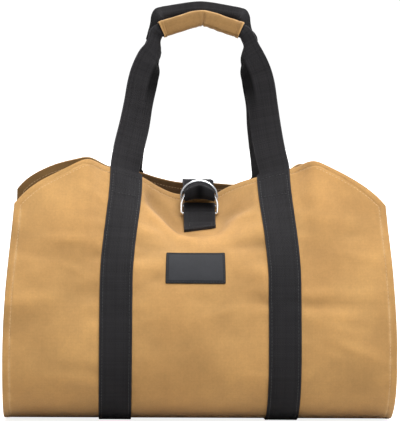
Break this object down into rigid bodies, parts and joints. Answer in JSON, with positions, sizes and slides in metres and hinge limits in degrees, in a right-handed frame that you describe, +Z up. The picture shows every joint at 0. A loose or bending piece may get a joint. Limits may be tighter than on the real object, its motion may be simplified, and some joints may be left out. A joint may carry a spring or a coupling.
{
  "type": "firewood bag",
  "caption": "Canvas log carrier folded into an open-ended trough, with webbing handles that run under the base and a strap drawn through D-rings at the top",
  "frame": {"origin": "on the floor under the middle of the bag", "axes": "+Z up, -Y towards the front panel with the rings and the label, X along the open ends"},
  "size_m": [0.48, 0.3472, 0.5253],
  "materials": {
    "canvas": "tan woven canvas, matt",
    "webbing": "black woven webbing, dull",
    "ring_steel": "bright nickel plate",
    "label": "dark grey, matt, blank"
  },
  "bodies": {
    "root": {"canvas_sheet": "canvas", "webbing_front": "webbing", "webbing_rear": "webbing", "grip_sleeve": "canvas", "closure_tab": "webbing", "d_ring_back": "ring_steel", "d_ring_front": "ring_steel", "closure_strap": "webbing", "label_patch": "label"}
  },
  "joints": []
}
